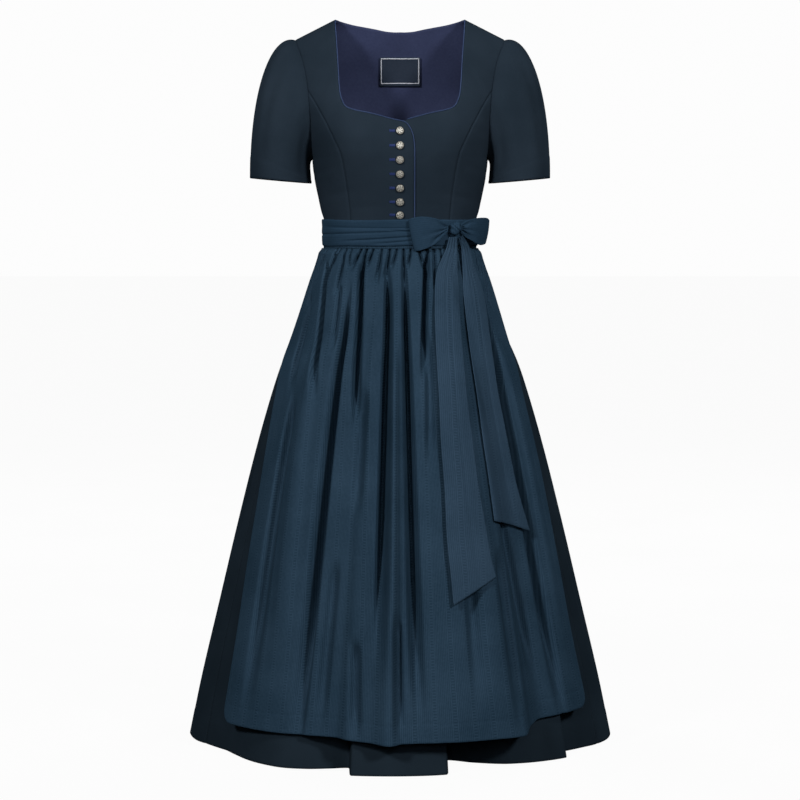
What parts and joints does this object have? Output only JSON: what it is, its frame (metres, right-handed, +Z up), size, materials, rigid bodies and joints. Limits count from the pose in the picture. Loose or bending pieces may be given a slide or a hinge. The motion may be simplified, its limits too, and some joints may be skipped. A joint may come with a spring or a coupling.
{
  "type": "dirndl",
  "caption": "Hollow standing midi dirndl: buttoned bodice with wide neckline, short sleeves, gathered skirt, long apron tied with a bow at the waist.",
  "frame": {"origin": "midway between the two highest points of the neck edge, at their level, where the wearer's shoulders hold the dress up", "axes": "+X towards the wearer's left, -Y towards the front, +Z up"},
  "size_m": [0.742, 0.6516, 1.2482],
  "materials": {
    "dress_cloth": "matt fine twill, dark blue",
    "lining_cloth": "plain weave cotton, violet blue",
    "label_cloth": "woven patch, bare, with a pale border",
    "piping": "folded cotton piping, slate blue",
    "buttons": "antique silver with relief",
    "apron_cloth": "jacquard with satin ribs, petrol blue",
    "tie_cloth": "plain satin-like cotton, petrol blue"
  },
  "bodies": {
    "root": {"bodice_front_right": "dress_cloth", "bodice_front_left": "dress_cloth", "side_front_right": "dress_cloth", "side_front_left": "dress_cloth", "side_back_right": "dress_cloth", "side_back_left": "dress_cloth", "back_centre": "dress_cloth", "lining_back": "lining_cloth", "label": "label_cloth", "neck_piping": "piping", "closing_piping": "piping", "button_1": "buttons", "button_2": "buttons", "button_3": "buttons", "button_4": "buttons", "button_5": "buttons", "button_6": "buttons", "button_7": "buttons", "sleeve_right": "dress_cloth", "sleeve_left": "dress_cloth", "skirt_front": "dress_cloth", "skirt_side_left": "dress_cloth", "skirt_back": "dress_cloth", "skirt_side_right": "dress_cloth", "apron_skirt": "apron_cloth", "apron_waistband": "apron_cloth", "tie_band": "tie_cloth", "bow_loop_right": "tie_cloth", "bow_loop_left": "tie_cloth", "bow_knot": "tie_cloth", "tie_tail_front": "tie_cloth", "tie_tail_back": "tie_cloth"}
  },
  "joints": []
}
